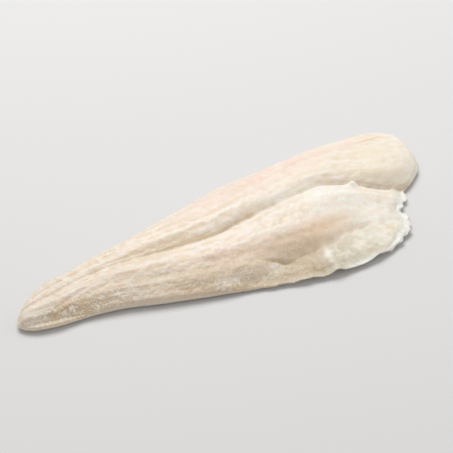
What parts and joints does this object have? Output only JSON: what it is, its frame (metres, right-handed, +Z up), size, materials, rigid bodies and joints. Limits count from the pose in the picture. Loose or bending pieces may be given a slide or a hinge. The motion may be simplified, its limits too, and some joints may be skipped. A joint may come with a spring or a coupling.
{
  "type": "flounder fillet",
  "caption": "Frozen raw flounder fillet: a pale tapering slab whose muscle bands meet at a seam, with a thin torn belly flap along one side and a flat underside that it rests on.",
  "frame": {"origin": "On the flat underside that the fillet rests on, halfway along its length, almost under the seam between its two bands.", "axes": "+X runs along the fillet from the tail to the head end. +Y runs across it to the thick far band, and -Y to the belly flap. +Z is up, out of the bone side."},
  "size_m": [0.2366, 0.0945, 0.014],
  "materials": {
    "flesh": "satin, moist and faintly frosted"
  },
  "bodies": {
    "root": {"fillet": "flesh"}
  },
  "joints": []
}
